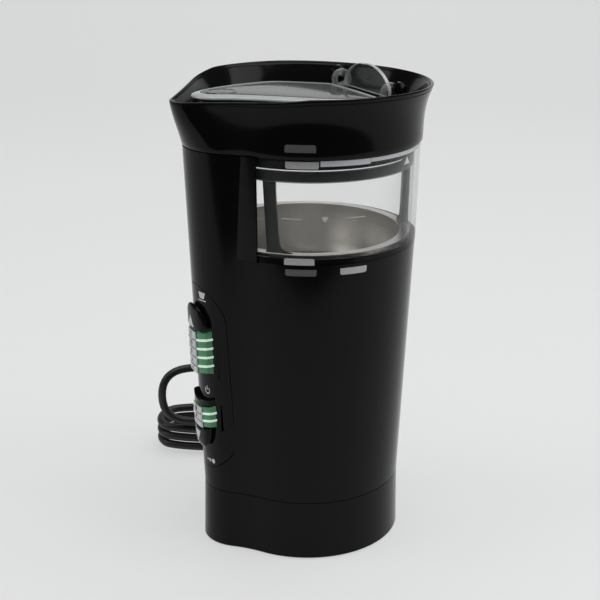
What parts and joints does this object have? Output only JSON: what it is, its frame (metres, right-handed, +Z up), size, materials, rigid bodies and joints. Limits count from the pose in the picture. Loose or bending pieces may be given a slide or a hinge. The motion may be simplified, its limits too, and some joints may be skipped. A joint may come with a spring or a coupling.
{
  "type": "electric coffee grinder",
  "caption": "Upright blade coffee grinder with a lift-off clear bowl, a turning pouring lid with a hinged cover, a front panel of scales and push buttons, and a mains cord.",
  "frame": {"origin": "on the motor axis, in the resting plane under the rubber feet", "axes": "+Z up along the motor axis, -Y to the front where the controls and the pouring spout are, +X to the right as seen from behind the object"},
  "size_m": [0.1748, 0.1348, 0.226],
  "materials": {
    "black_shell": "gloss black",
    "black_fitting": "satin black",
    "foot_rubber": "matt",
    "clear_wall": "clear moulded plastic",
    "smoked_cover": "smoked clear plastic",
    "steel": "satin",
    "spring_steel": "bright",
    "core_steel": "bare lamination",
    "copper_winding": "enamelled copper",
    "brass_part": "plain",
    "carbon": "carbon",
    "zinc_bracket": "cast",
    "board_green": "circuit board",
    "strip_green": "translucent green",
    "face_silver": "silver print",
    "seal_rubber": "matt",
    "cord_black": "satin black"
  },
  "bodies": {
    "base": {"housing": "black_shell", "base_tray": "black_shell", "rubber_feet": "foot_rubber", "base_screws": "steel", "bowl_seat": "black_fitting", "panel_frame": "black_shell", "cups_strip": "strip_green", "grind_strip": "strip_green", "cups_face": "face_silver", "grind_face": "face_silver", "control_board": "board_green", "tact_switches": "black_fitting", "interlock_switch": "black_fitting", "interlock_spring": "spring_steel", "stator_core": "core_steel", "field_coils": "copper_winding", "lower_bracket": "zinc_bracket", "upper_bracket": "zinc_bracket", "lower_bearing": "brass_part", "upper_bearing": "brass_part", "motor_bolts": "steel", "motor_dampers": "foot_rubber", "brush_holders": "brass_part", "brush_springs": "spring_steel", "carbon_brushes": "carbon", "strain_relief": "cord_black", "cord": "cord_black", "cord_hank": "cord_black", "cord_tie": "cord_black", "plug_body": "cord_black", "plug_blades": "brass_part"},
    "cups_button": {"cups_button": "black_shell"},
    "grind_button": {"grind_button": "black_shell"},
    "interlock_rod": {"interlock_rod": "black_fitting"},
    "rotor": {"motor_shaft": "steel", "armature_core": "core_steel", "armature_winding": "copper_winding", "commutator": "brass_part", "cooling_fan": "black_fitting", "drive_coupling": "black_fitting"},
    "bowl": {"bowl_skirt": "black_shell", "bowl_wall": "clear_wall", "steel_cup": "steel", "spindle_bush": "brass_part", "bowl_seal": "seal_rubber"},
    "blade_set": {"spindle": "steel", "driven_coupling": "black_fitting", "blade": "steel", "blade_nut": "steel"},
    "wiper": {"wiper": "black_fitting"},
    "lid": {"lid_shell": "black_shell", "lid_funnel": "black_shell", "cover_pins": "steel"},
    "cover": {"pour_cover": "smoked_cover"}
  },
  "joints": [
    {"name": "cups_button_press", "type": "slide", "parent": "base", "child": "cups_button", "axis": [0, 1, 0], "range_m": [0, 0.0013], "stiffness_N_per_m": 600, "springref_m": -0.0004},
    {"name": "grind_button_press", "type": "slide", "parent": "base", "child": "grind_button", "axis": [0, 1, 0], "range_m": [0, 0.0013], "stiffness_N_per_m": 600, "springref_m": -0.0004},
    {"name": "interlock_lift", "type": "slide", "parent": "base", "child": "interlock_rod", "axis": [0, 0, 1], "range_m": [0, 0.003], "deforming": ["interlock_spring"]},
    {"name": "motor_spin", "type": "hinge", "parent": "base", "child": "rotor", "pos_m": [0, 0, 0.06], "axis": [0, 0, 1], "continuous": true},
    {"name": "bowl_twist", "type": "hinge", "parent": "base", "child": "bowl", "pos_m": [0, 0, 0.147], "axis": [0, 0, 1], "range_deg": [0, 27]},
    {"name": "blade_spin", "type": "hinge", "parent": "bowl", "child": "blade_set", "pos_m": [0, 0, 0.112], "axis": [0, 0, 1], "continuous": true},
    {"name": "wiper_turn", "type": "hinge", "parent": "bowl", "child": "wiper", "pos_m": [0, 0, 0.187], "axis": [0, 0, 1], "range_deg": [0, 63]},
    {"name": "lid_lift", "type": "slide", "parent": "wiper", "child": "lid", "axis": [0, 0, 1], "range_m": [0, 0.06]},
    {"name": "cover_hinge", "type": "hinge", "parent": "lid", "child": "cover", "pos_m": [0, 0.03, 0.216], "axis": [-1, 0, 0], "range_deg": [0, 90]}
  ],
  "couplings": [
    {"joint": "blade_spin", "follows": "motor_spin", "ratio": 1},
    {"joint": "interlock_lift", "follows": "lid_lift", "ratio": 0.05}
  ]
}
